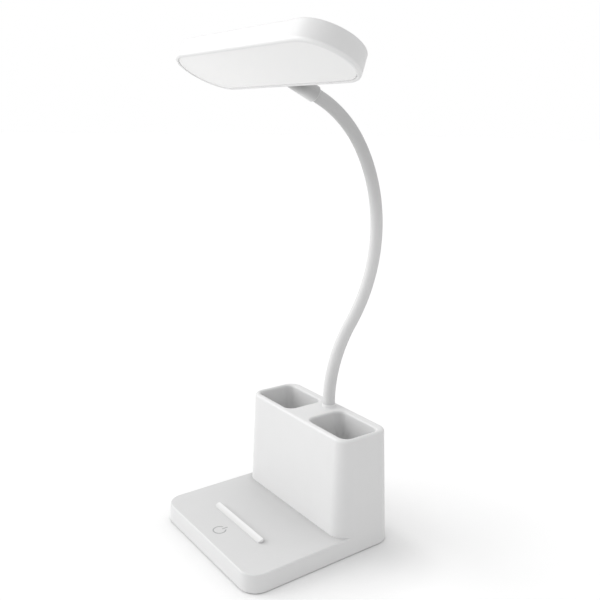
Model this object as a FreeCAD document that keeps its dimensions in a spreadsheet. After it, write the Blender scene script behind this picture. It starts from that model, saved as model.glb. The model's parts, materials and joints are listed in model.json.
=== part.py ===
import FreeCAD, Part
import Sketcher
import math
import os
import re

# A rechargeable desk lamp: a square base whose rear half rises into a tower with two pen
# wells, a gooseneck that leaves the tower's top, and a long flat lamp head on the gooseneck.
# X runs to the right along the tower, -Y points to the user, +Z is up. The origin is on the
# table, under the middle of the base. All sizes are in millimetres, angles in degrees.

SIZES = {
    # base moulding
    "base_width": 120.0,
    "base_depth": 120.0,
    "base_corner": 12.6,
    "floor_gap": 0.8,
    "tray_height": 13.5,
    "tray_edge": 0.9,
    "wall": 2.0,
    # tower
    "tower_height": 84.2,
    "tower_top_width": 113.4,
    "tower_front_low": 11.5,
    "tower_front_top": 14.2,
    "tower_back_top": 55.6,
    "tower_corner": 9.4,
    "tower_edge": 2.0,
    # pen wells
    "bridge_width": 22.0,
    "well_side_rim": 3.65,
    "well_front_rim": 4.2,
    "well_back_rim": 6.6,
    "well_corner": 6.0,
    "well_floor_corner": 3.0,
    "well_wall": 1.6,
    "well_taper": 0.8,
    "well_rim_edge": 1.6,
    # bottom cover, pad and their screws
    "pad_thickness": 1.4,
    "pad_inset": 3.6,
    "cover_thickness": 2.4,
    "cover_gap": 0.28,
    "cover_screw_inset": 9.5,
    "back_screw_inset": 8.0,
    "back_boss_radius": 4.0,
    "boss_radius": 3.2,
    "thread_gap": 0.02,
    "pilot_depth": 6.0,
    "pilot_floor": 0.6,
    "screw_tip_gap": 0.4,
    "back_boss_top": 20.0,
    "screw_radius": 1.3,
    "screw_hole_radius": 1.55,
    "screw_head_radius": 2.4,
    "screw_head_height": 1.2,
    "screw_head_gap": 0.2,
    "screw_length": 5.5,
    "slot_reach": 1.2,
    "slot_width": 0.3,
    # phone stop and touch mark
    "stop_length": 60.5,
    "stop_width": 4.9,
    "stop_height": 2.0,
    "stop_front_height": 0.5,
    "stop_ridge": 1.2,
    "stop_place": -31.35,
    "stop_edge": 0.4,
    "mark_place": -47.0,
    "mark_radius": 4.3,
    "mark_line": 1.0,
    "mark_depth": 0.3,
    "mark_gap_width": 4.0,
    "mark_stem": 4.2,
    "mark_stem_start": 2.2,
    # counterweight
    "weight_width": 104.0,
    "weight_depth": 34.0,
    "weight_thickness": 6.0,
    "weight_place": -9.0,
    "weight_corner": 3.0,
    "weight_screw_place": 40.0,
    # control board
    "board_width": 64.0,
    "board_depth": 26.0,
    "board_thickness": 1.2,
    "board_place": -43.0,
    "board_corner": 1.5,
    "post_height": 2.6,
    "post_radius": 2.6,
    "board_screw_inset": 3.5,
    "charge_screw_x": 9.0,
    "charge_board_back": 56.8,
    "small_screw_radius": 0.9,
    "small_head_radius": 1.8,
    "small_head_height": 1.1,
    "small_screw_length": 4.4,
    "small_hole_radius": 1.1,
    "spring_radius": 3.0,
    "spring_wire": 0.35,
    "spring_turns": 3.0,
    # cell and its holder
    "cell_radius": 9.2,
    "cell_length": 65.0,
    "cell_place": 30.5,
    "cell_gap": 0.15,
    "cell_headroom": 1.95,
    "holder_wall": 1.6,
    "holder_height": 9.0,
    "contact_thickness": 0.5,
    "contact_height": 12.0,
    "contact_width": 10.0,
    # charging socket on its small board
    "usb_width": 8.94,
    "usb_height": 3.26,
    "usb_depth": 7.3,
    "usb_shell": 0.3,
    "usb_tongue": 0.7,
    "usb_tongue_width": 6.44,
    "usb_back": 1.2,
    "usb_setback": 1.0,
    "usb_slot_gap": 0.25,
    "charge_board_width": 24.0,
    "charge_board_depth": 11.0,
    # gooseneck
    "neck_radius": 4.5,
    "neck_place": 46.7,
    "neck_stub_top": 88.8,
    "neck_lean": 36.2,
    "neck_low_bend": 95.5,
    "neck_mid_bend": 112.1,
    "neck_high_bend": 87.0,
    "neck_mid_end": 32.35,
    "ball_radius": 4.8,
    "ball_gap": 0.15,
    "bore_radius": 2.5,
    "core_radius": 2.4,
    "core_start_gap": 2.2,
    "core_end_gap": 5.6,
    "neck_run_out": 6.1,
    "sleeve_seat": 6.0,
    # lower neck fitting
    "neck_boss_radius": 7.2,
    "neck_boss_depth": 6.0,
    "grommet_wall": 0.42,
    "grommet_seat": 3.5,
    "grommet_flare": 0.3,
    "grommet_lip": 0.32,
    "grommet_rise": 2.2,
    "grommet_gap": 0.08,
    "fitting_radius": 4.0,
    "fitting_bore": 2.6,
    "fitting_length": 15.0,
    "fitting_gap": 0.15,
    "washer_thickness": 1.0,
    "nut_room": 0.1,
    "nut_thickness": 3.5,
    # lamp head, in its own frame: X along the head, Y to its rear, Z out of its back
    "head_length": 174.2,
    "head_depth": 48.0,
    "head_thickness": 13.9,
    "head_taper": 1.4,
    "head_edge": 1.4,
    "head_lip_edge": 1.7,
    "head_tilt": 25.3,
    "head_wall": 1.8,
    "head_rim": 2.7,
    "ledge": 1.0,
    "diffuser_recess": 0.4,
    "diffuser_top": 1.8,
    "diffuser_gap": 0.35,
    "diffuser_edge": 0.4,
    "led_board_length": 150.0,
    "led_board_depth": 24.0,
    "led_board_thickness": 1.0,
    "led_board_level": 6.0,
    "led_screw_x": 70.0,
    "led_screw_y": 8.0,
    "led_boss_radius": 2.6,
    "reflector_thickness": 0.3,
    "chip_length": 3.5,
    "chip_width": 2.8,
    "chip_height": 0.8,
    "window_gap": 0.3,
    "chip_rows": 2,
    "chip_columns": 12,
    "chip_pitch": 11.4,
    "chip_row_pitch": 13.0,
    # ferrule between neck and head
    "ferrule_length": 21.9,
    "ferrule_rim_radius": 5.6,
    "ferrule_root_radius": 5.8,
    "ferrule_edge": 0.35,
    "ferrule_level": 7.0,
    "lead_spacing": 1.8,
    "lead_length": 12.0,
    "lead_overlap": 4.0,
    "spigot_radius": 3.5,
    "spigot_length": 8.0,
    "head_nut_radius": 4.4,
    "head_nut_thickness": 3.0,
    "lead_radius": 0.7,
}

# The gooseneck follows three bends, each cut into this many links.
LINKS_PER_BEND = (2, 4, 2)

doc = FreeCAD.newDocument("desk_lamp")
sheet = doc.addObject("Spreadsheet::Sheet", "Sizes")
for row, (alias, value) in enumerate(SIZES.items(), start=1):
    sheet.set(f"A{row}", alias)
    sheet.set(f"B{row}", str(value))
    sheet.setAlias(f"B{row}", alias)
doc.recompute()


# ---- small helpers -------------------------------------------------------------------

# Margins for picking edges by place, and the least volume that a feature has to change.
LEVEL_MARGIN = 0.02
PICK_MARGIN = 0.1
LEAST_CHANGE = 0.001

# Turns that lay a cylinder or a cone along an axis.
AXIS_TURNS = {
    "x": FreeCAD.Rotation(FreeCAD.Vector(0, 1, 0), 90),
    "y": FreeCAD.Rotation(FreeCAD.Vector(1, 0, 0), -90),
    "z": FreeCAD.Rotation(),
}


def formula(text):
    """Turn plain size names in a formula into references to the sheet."""
    def reference(match):
        return "Sizes." + match[0] if match[0] in SIZES else match[0]
    return re.sub(r"[a-z_]+", reference, str(text))


def number(text):
    """The present value of a formula."""
    result = sheet.evalExpression(formula(text))
    return float(getattr(result, "Value", result))


def bind(item, **formulas):
    for field, text in formulas.items():
        item.setExpression(field.replace("__", "."), formula(text))


def place(item, x=0, y=0, z=0):
    bind(item, Placement__Base__x=x, Placement__Base__y=y, Placement__Base__z=z)
    return item


def box(name, x_size, y_size, z_size, x, y, z):
    """A block whose x and y give its middle and z its lower face."""
    item = doc.addObject("Part::Box", name)
    bind(item, Length=x_size, Width=y_size, Height=z_size)
    return place(item, f"({x}) - ({x_size}) / 2", f"({y}) - ({y_size}) / 2", z)


def cylinder(name, radius, height, x=0, y=0, z=0, axis="z"):
    item = doc.addObject("Part::Cylinder", name)
    bind(item, Radius=radius, Height=height)
    item.Placement.Rotation = AXIS_TURNS[axis]
    return place(item, x, y, z)


def cone(name, radius_low, radius_high, height, x, y, z, axis="z"):
    item = doc.addObject("Part::Cone", name)
    bind(item, Radius1=radius_low, Radius2=radius_high, Height=height)
    item.Placement.Rotation = AXIS_TURNS[axis]
    return place(item, x, y, z)


def cut(name, base, tool):
    item = doc.addObject("Part::Cut", name)
    item.Base = base
    item.Tool = tool
    return item


def fuse(name, pieces, refine=True):
    item = doc.addObject("Part::MultiFuse", name)
    item.Shapes = pieces
    item.Refine = refine
    return item


def group(name, pieces):
    item = doc.addObject("Part::Compound", name)
    item.Links = pieces
    return item


def plane_of(body, role):
    return next(item for item in body.Origin.OriginFeatures if item.Role == role)


def new_sketch(body, name, level):
    """An empty sketch in the body's own XY plane, raised to a level."""
    sketch = body.newObject("Sketcher::SketchObject", name)
    sketch.AttachmentSupport = (plane_of(body, "XY_Plane"), [""])
    sketch.MapMode = "FlatFace"
    bind(sketch, AttachmentOffset__Base__z=level)
    return sketch


def name_constraint(sketch, constraint, name, text):
    index = sketch.addConstraint(constraint)
    sketch.renameConstraint(index, name)
    bind(sketch, **{f"Constraints__{name}": text})


def rounded_sketch(body, name, level, x_low, x_high, y_low, y_high, corner):
    """A rounded rectangle from x_low to x_high and from y_low to y_high."""
    sketch = new_sketch(body, name, level)
    x0, x1, y0, y1, r = [number(text) for text in (x_low, x_high, y_low, y_high, corner)]
    ends = [((x0 + r, y0), (x1 - r, y0)), ((x1, y0 + r), (x1, y1 - r)),
            ((x1 - r, y1), (x0 + r, y1)), ((x0, y1 - r), (x0, y0 + r))]
    for start, end in ends:
        sketch.addGeometry(Part.LineSegment(FreeCAD.Vector(*start, 0), FreeCAD.Vector(*end, 0)))
    centres = [(x1 - r, y0 + r), (x1 - r, y1 - r), (x0 + r, y1 - r), (x0 + r, y0 + r)]
    up = FreeCAD.Vector(0, 0, 1)
    for quarter, centre in enumerate(centres):
        circle = Part.Circle(FreeCAD.Vector(*centre, 0), up, r)
        begin = (quarter - 1) * math.pi / 2
        sketch.addGeometry(Part.ArcOfCircle(circle, begin, begin + math.pi / 2))
    for side in range(4):
        sketch.addConstraint(Sketcher.Constraint("Tangent", side, 2, 4 + side, 1))
        sketch.addConstraint(Sketcher.Constraint("Tangent", 4 + side, 2, (side + 1) % 4, 1))
    for side, direction in enumerate(("Horizontal", "Vertical", "Horizontal", "Vertical")):
        sketch.addConstraint(Sketcher.Constraint(direction, side))
    for arc in (5, 6, 7):
        sketch.addConstraint(Sketcher.Constraint("Equal", 4, arc))
    name_constraint(sketch, Sketcher.Constraint("Radius", 4, r), "corner", corner)
    name_constraint(sketch, Sketcher.Constraint("DistanceX", -1, 1, 1, 1, x1), "x_high", x_high)
    name_constraint(sketch, Sketcher.Constraint("DistanceX", -1, 1, 3, 1, x0), "x_low", x_low)
    name_constraint(sketch, Sketcher.Constraint("DistanceY", -1, 1, 2, 1, y1), "y_high", y_high)
    name_constraint(sketch, Sketcher.Constraint("DistanceY", -1, 1, 0, 1, y0), "y_low", y_low)
    return sketch


def stadium_sketch(body, name, level, length, depth):
    """A slot outline with full round ends, centred on the origin."""
    sketch = new_sketch(body, name, level)
    r = number(depth) / 2
    half = number(length) / 2 - r
    up = FreeCAD.Vector(0, 0, 1)
    sketch.addGeometry(Part.LineSegment(FreeCAD.Vector(-half, -r, 0), FreeCAD.Vector(half, -r, 0)))
    right = Part.Circle(FreeCAD.Vector(half, 0, 0), up, r)
    sketch.addGeometry(Part.ArcOfCircle(right, -math.pi / 2, math.pi / 2))
    sketch.addGeometry(Part.LineSegment(FreeCAD.Vector(half, r, 0), FreeCAD.Vector(-half, r, 0)))
    left = Part.Circle(FreeCAD.Vector(-half, 0, 0), up, r)
    sketch.addGeometry(Part.ArcOfCircle(left, math.pi / 2, 3 * math.pi / 2))
    for item in range(4):
        sketch.addConstraint(Sketcher.Constraint("Tangent", item, 2, (item + 1) % 4, 1))
    sketch.addConstraint(Sketcher.Constraint("Horizontal", 0))
    sketch.addConstraint(Sketcher.Constraint("PointOnObject", 1, 3, -1))
    sketch.addConstraint(Sketcher.Constraint("Symmetric", 1, 3, 3, 3, -1, 1))
    name_constraint(sketch, Sketcher.Constraint("Radius", 1, r), "end_radius", f"({depth}) / 2")
    name_constraint(sketch, Sketcher.Constraint("DistanceX", -1, 1, 1, 3, half), "half_straight",
                    f"({length}) / 2 - ({depth}) / 2")
    return sketch


def circle_sketch(body, name, level, radius, centres):
    """Circles of one radius; each centre is a pair of formulas."""
    sketch = new_sketch(body, name, level)
    up = FreeCAD.Vector(0, 0, 1)
    size = number(radius)
    for index, (x, y) in enumerate(centres):
        centre = FreeCAD.Vector(number(x), number(y), 0)
        sketch.addGeometry(Part.Circle(centre, up, size))
        name_constraint(sketch, Sketcher.Constraint("Radius", index, size), f"radius_{index}", radius)
        name_constraint(sketch, Sketcher.Constraint("DistanceX", -1, 1, index, 3, centre.x), f"x_{index}", x)
        name_constraint(sketch, Sketcher.Constraint("DistanceY", -1, 1, index, 3, centre.y), f"y_{index}", y)
    return sketch


def pad(body, name, sketch, length, inset=0):
    """Raise a sketch; its sides lean inwards by an inset over the length."""
    feature = body.newObject("PartDesign::Pad", name)
    feature.Profile = sketch
    bind(feature, Length=length, TaperAngle=f"-atan(({inset}) / ({length}))")
    return finish_feature(body, feature, grows=True)


def pocket(body, name, sketch, length, upward=False):
    feature = body.newObject("PartDesign::Pocket", name)
    feature.Profile = sketch
    feature.Reversed = upward
    bind(feature, Length=length)
    return finish_feature(body, feature, grows=False)


def loft(body, name, first, last, adds):
    kind = "PartDesign::AdditiveLoft" if adds else "PartDesign::SubtractiveLoft"
    feature = body.newObject(kind, name)
    feature.Profile = first
    feature.Sections = [last]
    feature.Ruled = True
    return finish_feature(body, feature, grows=adds)


def finish_feature(body, feature, grows):
    """Recompute, and make sure that the feature changed the solid the right way."""
    before = body.Shape.Volume if not body.Shape.isNull() else 0.0
    body.Tip = feature
    doc.recompute()
    change = body.Shape.Volume - before
    if (change > 0) != grows or abs(change) < LEAST_CHANGE:
        raise RuntimeError(f"{body.Name}.{feature.Name} changed the volume by {change:.3f}")
    return feature


def round_edges(body, name, radius, wanted):
    """Fillet the edges of the body's tip that the test picks."""
    tip = body.Tip
    names = [f"Edge{index}" for index, edge in enumerate(tip.Shape.Edges, start=1) if wanted(edge)]
    feature = body.newObject("PartDesign::Fillet", name)
    feature.Base = (tip, names)
    bind(feature, Radius=radius)
    body.Tip = feature
    doc.recompute()
    return feature


def lies_level(edge, level):
    limits = edge.BoundBox
    return abs(limits.ZMin - level) < LEVEL_MARGIN and abs(limits.ZMax - level) < LEVEL_MARGIN


# ---- housing: tray and tower in one moulding ------------------------------------------

def rise(level):
    """How far up the tapering sides a level lies, from 0 at the skirt to 1 at the top."""
    return f"((({level}) - floor_gap) / (tower_height - floor_gap))"


def half_width_at(level):
    return f"(base_width / 2 - (base_width - tower_top_width) / 2 * {rise(level)})"


def back_at(level):
    return f"(base_depth / 2 - (base_depth / 2 - tower_back_top) * {rise(level)})"


def tower_front_at(level):
    return f"(tower_front_low + (tower_front_top - tower_front_low) * {rise(level)})"


def tray_front_at(level):
    return f"(base_width / 2 - base_depth / 2 - {half_width_at(level)})"


def corner_at(level):
    return f"(base_corner + (tower_corner - base_corner) * {rise(level)})"


def housing_outline(body, name, level, inset, front, back):
    half = f"{half_width_at(level)} - ({inset})"
    return rounded_sketch(body, name, level, f"-({half})", half, f"{front} + ({inset})",
                          f"{back} - ({inset})", f"{corner_at(level)} - ({inset})")


def tray_outline(body, name, level, inset):
    """The tray reaches back into the tower, where its rounded back corners are buried."""
    return housing_outline(body, name, level, inset, tray_front_at(level),
                           "(tower_front_low + 2 * base_corner + 2 * wall)")


def tower_outline(body, name, level, inset):
    return housing_outline(body, name, level, inset, tower_front_at(level), back_at(level))


def well_outline(body, name, level, side, grow, corner="well_corner"):
    """The outline of the right (side 1) or left (side -1) pen well, grown by a wall."""
    inner = f"(bridge_width / 2 - ({grow}))"
    outer = f"(tower_top_width / 2 - well_side_rim + ({grow}))"
    x_low, x_high = (inner, outer) if side > 0 else (f"-{outer}", f"-{inner}")
    front = f"tower_front_top + well_front_rim - ({grow})"
    back = f"tower_back_top - well_back_rim + ({grow})"
    return rounded_sketch(body, name, level, x_low, x_high, front, back, f"{corner} + ({grow})")


tray_under = "(tray_height - wall)"
tower_under = "(tower_height - wall)"
cover_top = "(pad_thickness + cover_thickness)"
grommet_bore_radius = "(neck_radius + grommet_gap)"
grommet_radius = f"({grommet_bore_radius} + grommet_wall)"
well_floor = f"({cover_top} + holder_wall + cell_gap + 2 * cell_radius + cell_headroom + well_wall)"
front_screws = [(f"{side} * (base_width / 2 - cover_screw_inset)", "cover_screw_inset - base_depth / 2")
                for side in (-1, 1)]
back_screws = [(f"{side} * (base_width / 2 - back_screw_inset)", "base_depth / 2 - back_screw_inset")
               for side in (-1, 1)]

moulding = doc.addObject("PartDesign::Body", "shell_moulding")
pad(moulding, "tray_block", tray_outline(moulding, "tray_low", "floor_gap", 0), "tray_height - floor_gap",
    inset=f"base_width / 2 - {half_width_at('tray_height')}")
round_edges(moulding, "tray_rounding", "tray_edge",
            lambda edge: lies_level(edge, number("tray_height")))
loft(moulding, "tower_block", tower_outline(moulding, "tower_low", "floor_gap", 0),
     tower_outline(moulding, "tower_high", "tower_height", 0), adds=True)
round_edges(moulding, "tower_rounding", "tower_edge",
            lambda edge: lies_level(edge, number("tower_height")))
loft(moulding, "tray_hollow", tray_outline(moulding, "tray_hollow_low", "floor_gap", "wall"),
     tray_outline(moulding, "tray_hollow_high", tray_under, "wall"), adds=False)
loft(moulding, "tower_hollow", tower_outline(moulding, "tower_hollow_low", "floor_gap", "wall"),
     tower_outline(moulding, "tower_hollow_high", tower_under, "wall"), adds=False)
for side, word in ((1, "right"), (-1, "left")):
    loft(moulding, f"{word}_well_wall",
         well_outline(moulding, f"{word}_well_wall_top", tower_under, side, "well_wall"),
         well_outline(moulding, f"{word}_well_wall_floor", f"{well_floor} - well_wall", side,
                      "well_wall - well_taper", "well_floor_corner + well_taper"), adds=True)
    loft(moulding, f"{word}_well",
         well_outline(moulding, f"{word}_well_mouth", "tower_height", side, 0),
         well_outline(moulding, f"{word}_well_floor", well_floor, side, "-well_taper",
                      "well_floor_corner + well_taper"), adds=False)


def is_well_mouth(edge):
    """Whether an edge of the tower's top runs round a pen well."""
    reach = number("tower_top_width / 2 - well_side_rim") + PICK_MARGIN
    front = number("tower_front_top + well_front_rim") - PICK_MARGIN
    back = number("tower_back_top - well_back_rim") + PICK_MARGIN
    return all(abs(vertex.X) < reach and front < vertex.Y < back for vertex in edge.Vertexes)


round_edges(moulding, "well_rounding", "well_rim_edge",
            lambda edge: lies_level(edge, number("tower_height")) and is_well_mouth(edge))
pad(moulding, "neck_boss",
    circle_sketch(moulding, "neck_boss_outline", f"{tower_under} - neck_boss_depth", "neck_boss_radius",
                  [("0", "neck_place")]), "neck_boss_depth + wall / 2")
pocket(moulding, "grommet_seat",
       circle_sketch(moulding, "grommet_seat_outline", "tower_height", f"{grommet_radius} + fitting_gap",
                     [("0", "neck_place")]), "grommet_seat")
pocket(moulding, "neck_hole",
       circle_sketch(moulding, "neck_hole_outline", "tower_height", "fitting_radius + fitting_gap",
                     [("0", "neck_place")]), "wall + neck_boss_depth + wall")
pad(moulding, "front_bosses",
    circle_sketch(moulding, "front_boss_outline", cover_top, "boss_radius", front_screws),
    f"{tray_under} - {cover_top} + wall / 2")
pad(moulding, "back_bosses",
    circle_sketch(moulding, "back_boss_outline", cover_top, "back_boss_radius", back_screws),
    f"back_boss_top - {cover_top}")
pocket(moulding, "pilot_holes",
       circle_sketch(moulding, "pilot_outline", cover_top, "screw_radius + thread_gap",
                     front_screws + back_screws),
       "pilot_depth", upward=True)

# The touch mark is a thin inlay: a ring that is open at the top, and a stem in the gap.
mark_floor = "(tray_height - mark_depth)"
mark_disc = cylinder("mark_disc", "mark_radius + mark_line / 2", "mark_depth", 0, "mark_place", mark_floor)
mark_hole = cylinder("mark_hole", "mark_radius - mark_line / 2", "mark_depth", 0, "mark_place", mark_floor)
mark_gap = box("mark_gap", "mark_gap_width", "mark_radius * 2", "mark_depth",
               0, "mark_place + mark_radius", mark_floor)
mark_ring = cut("mark_ring", cut("mark_annulus", mark_disc, mark_hole), mark_gap)
mark_stem = box("mark_stem", "mark_line", "mark_stem", "mark_depth",
                0, "mark_place + mark_stem_start + mark_stem / 2", mark_floor)
touch_mark = group("touch_mark", [mark_ring, mark_stem])


def flat_tube(name, width, height, depth, x, y, z):
    """A bar along Y with full round sides; y is its front end and z its middle."""
    middle = box(f"{name}_middle", f"({width}) - ({height})", depth, height,
                 x, f"({y}) + ({depth}) / 2", f"({z}) - ({height}) / 2")
    ends = [cylinder(f"{name}_end_{word}", f"({height}) / 2", depth,
                     f"({x}) + {sign} * (({width}) - ({height})) / 2", y, z, axis="y")
            for sign, word in ((-1, "left"), (1, "right"))]
    return fuse(name, [middle] + ends)


charge_board_level = f"({cover_top} + post_height)"
usb_level = f"({charge_board_level} + board_thickness + usb_height / 2)"
usb_mouth = f"({back_at(usb_level)} - usb_setback)"
slot_reach_in = "(wall + usb_setback + usb_slot_gap)"
usb_slot = flat_tube("usb_slot", "usb_width + 2 * usb_slot_gap", "usb_height + 2 * usb_slot_gap",
                     f"{slot_reach_in} * 2", 0, f"{back_at(usb_level)} - {slot_reach_in}", usb_level)
housing_shell = cut("housing_shell", cut("shell_with_slot", moulding, usb_slot), touch_mark)

# The stop is a low bar with a steep back for the phone's edge and a sloping front.
stop_bar = doc.addObject("PartDesign::Body", "stop_bar")
pad(stop_bar, "bar",
    stadium_sketch(stop_bar, "bar_outline", "tray_height", "stop_length", "stop_width"), "stop_height")
round_edges(stop_bar, "bar_rounding", "stop_edge",
            lambda edge: lies_level(edge, number("tray_height + stop_height")))
place(stop_bar, 0, "stop_place", 0)
slope_depth = "(stop_width - stop_ridge)"
stop_slope = box("stop_slope", "stop_length + stop_width", f"2 * {slope_depth}", "stop_height",
                 0, f"stop_place - stop_width / 2 + {slope_depth}", "tray_height + stop_front_height")
stop_slope.Placement.Rotation.Axis = FreeCAD.Vector(1, 0, 0)
bind(stop_slope, Placement__Rotation__Angle=f"atan((stop_height - stop_front_height) / {slope_depth})")
phone_stop = cut("phone_stop", stop_bar, stop_slope)


# ---- bottom cover, pad, and screws ----------------------------------------------------

def screw(name, x, y, head_base, shank, radius, head_radius, head_height, upward):
    """A pan-head screw; head_base is where its head seats, and its shank points up or down."""
    if upward:
        head = cylinder(f"{name}_head", head_radius, head_height, x, y, f"({head_base}) - ({head_height})")
        body = cylinder(f"{name}_shank", radius, shank, x, y, head_base)
        slot_level = f"({head_base}) - ({head_height})"
    else:
        head = cylinder(f"{name}_head", head_radius, head_height, x, y, head_base)
        body = cylinder(f"{name}_shank", radius, shank, x, y, f"({head_base}) - ({shank})")
        slot_level = f"({head_base}) + ({head_height}) / 2"
    slots = [box(f"{name}_slot_{word}", f"({head_radius}) * {x_share}", f"({head_radius}) * {y_share}",
                 f"({head_height}) / 2", x, y, slot_level)
             for word, x_share, y_share in (("long", "slot_reach", "slot_width"),
                                            ("cross", "slot_width", "slot_reach"))]
    return cut(name, fuse(f"{name}_blank", [head, body]), fuse(f"{name}_recess", slots))


board_screws = [(f"{sx} * (board_width / 2 - board_screw_inset)",
                 f"board_place + {sy} * (board_depth / 2 - board_screw_inset)")
                for sx in (-1, 1) for sy in (-1, 1)]
charge_board_front = "(charge_board_back - charge_board_depth)"
charge_screws = [(f"{sx} * charge_screw_x", f"{charge_board_front} + board_screw_inset") for sx in (-1, 1)]
weight_screws = [(f"{sx} * weight_screw_place", "weight_place") for sx in (-1, 1)]
cover_inset = "(wall + cover_gap)"

bottom_cover = doc.addObject("PartDesign::Body", "bottom_cover")
cover_half_width = f"({half_width_at(cover_top)} - {cover_inset})"
cover_front = f"({tray_front_at(cover_top)} + {cover_inset})"
cover_back = f"({back_at(cover_top)} - {cover_inset})"
cover_corner = f"({corner_at(cover_top)} - {cover_inset})"
pad(bottom_cover, "plate",
    rounded_sketch(bottom_cover, "plate_outline", "pad_thickness", f"-{cover_half_width}", cover_half_width,
                   cover_front, cover_back, cover_corner),
    "cover_thickness")
pad(bottom_cover, "posts",
    circle_sketch(bottom_cover, "post_outline", cover_top, "post_radius", board_screws + charge_screws),
    "post_height")
pocket(bottom_cover, "post_pilots",
       circle_sketch(bottom_cover, "post_pilot_outline", f"{cover_top} + post_height",
                     "small_screw_radius + thread_gap", board_screws + charge_screws), "small_screw_length")
pocket(bottom_cover, "weight_pilots",
       circle_sketch(bottom_cover, "weight_pilot_outline", cover_top, "screw_radius + thread_gap",
                     weight_screws), "cover_thickness - pilot_floor")
pocket(bottom_cover, "screw_holes",
       circle_sketch(bottom_cover, "screw_hole_outline", cover_top, "screw_hole_radius",
                     front_screws + back_screws), "cover_thickness")
pocket(bottom_cover, "counterbores",
       circle_sketch(bottom_cover, "counterbore_outline", "pad_thickness",
                     "screw_head_radius + screw_head_gap", front_screws + back_screws),
       "screw_head_height + screw_head_gap / 2", upward=True)

screw_seat = "(pad_thickness + screw_head_height + screw_head_gap / 2)"
cover_screws = group("cover_screws", [
    screw(f"cover_screw_{index}", x, y, screw_seat, "screw_length", "screw_radius", "screw_head_radius",
          "screw_head_height", upward=True)
    for index, (x, y) in enumerate(front_screws + back_screws)])

anti_slip_pad = doc.addObject("PartDesign::Body", "anti_slip_pad")
pad(anti_slip_pad, "sheet",
    rounded_sketch(anti_slip_pad, "sheet_outline", "0",
                   f"pad_inset - {cover_half_width}", f"{cover_half_width} - pad_inset",
                   f"{cover_front} + pad_inset", f"{cover_back} - pad_inset",
                   f"{cover_corner} - pad_inset"), "pad_thickness")

counterweight = doc.addObject("PartDesign::Body", "counterweight_plate")
pad(counterweight, "plate",
    rounded_sketch(counterweight, "plate_outline", cover_top, "-weight_width / 2", "weight_width / 2",
                   "weight_place - weight_depth / 2", "weight_place + weight_depth / 2", "weight_corner"),
    "weight_thickness")
pocket(counterweight, "screw_holes",
       circle_sketch(counterweight, "hole_outline", f"{cover_top} + weight_thickness", "screw_hole_radius",
                     weight_screws), "weight_thickness")
weight_screw_group = group("weight_screws", [
    screw(f"weight_screw_{index}", x, y, f"{cover_top} + weight_thickness",
          "weight_thickness + cover_thickness - pilot_floor - screw_tip_gap", "screw_radius",
          "screw_head_radius", "screw_head_height", upward=False)
    for index, (x, y) in enumerate(weight_screws)])


# ---- control board, touch spring, cell and charging socket ----------------------------

board_top = f"({cover_top} + post_height + board_thickness)"


def board(name, x_low, x_high, y_low, y_high, screws):
    body = doc.addObject("PartDesign::Body", name)
    pad(body, "plate", rounded_sketch(body, "outline", f"{cover_top} + post_height", x_low, x_high,
                                      y_low, y_high, "board_corner"), "board_thickness")
    pocket(body, "holes", circle_sketch(body, "hole_outline", board_top, "small_hole_radius", screws),
           "board_thickness")
    return body


control_board = board("control_board", "-board_width / 2", "board_width / 2",
                      "board_place - board_depth / 2", "board_place + board_depth / 2", board_screws)
charge_board = board("charge_board", "-charge_board_width / 2", "charge_board_width / 2",
                     charge_board_front, "charge_board_back", charge_screws)


def small_screws(name, places):
    return group(name, [
        screw(f"{name}_{index}", x, y, board_top, "small_screw_length", "small_screw_radius",
              "small_head_radius", "small_head_height", upward=False)
        for index, (x, y) in enumerate(places)])


board_screw_group = small_screws("board_screws", board_screws)
charge_screw_group = small_screws("charge_board_screws", charge_screws)

PARTS_ON_BOARD = {
    # name: x, y from the board's middle, width, depth, height
    "driver_chip": (-14.0, 2.0, 5.0, 5.0, 1.0),
    "inductor": (-22.0, -1.0, 6.0, 6.0, 2.8),
    "touch_chip": (9.0, -2.0, 5.0, 4.0, 1.5),
    "lamp_connector": (16.0, 8.0, 7.0, 4.5, 3.2),
    "cell_connector": (-4.0, 8.0, 6.0, 4.5, 3.2),
    "capacitor": (20.0, -2.0, 3.2, 1.6, 1.4),
}
board_components = group("board_components", [
    box(name, width, depth, height, x, f"board_place + {y}", board_top)
    for name, (x, y, width, depth, height) in PARTS_ON_BOARD.items()])

# The touch spring is a coil between the board and the underside of the tray.
spring_height = number(f"{tray_under} - {board_top} - spring_wire * 2")
spring_wire = number("spring_wire")
spring_coil = number("spring_radius - spring_wire")
helix = Part.makeHelix(spring_height / number("spring_turns"), spring_height, spring_coil)
wire_start = helix.Edges[0].valueAt(helix.Edges[0].FirstParameter)
wire_heading = helix.Edges[0].tangentAt(helix.Edges[0].FirstParameter)
wire_circle = Part.Wire(Part.makeCircle(spring_wire, wire_start, wire_heading))
touch_spring = doc.addObject("Part::Feature", "touch_spring")
touch_spring.Shape = Part.Wire(helix).makePipeShell([wire_circle], True, True)
touch_spring.Placement = FreeCAD.Placement(
    FreeCAD.Vector(0, number("mark_place"), number(board_top) + spring_wire), FreeCAD.Rotation())

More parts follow.
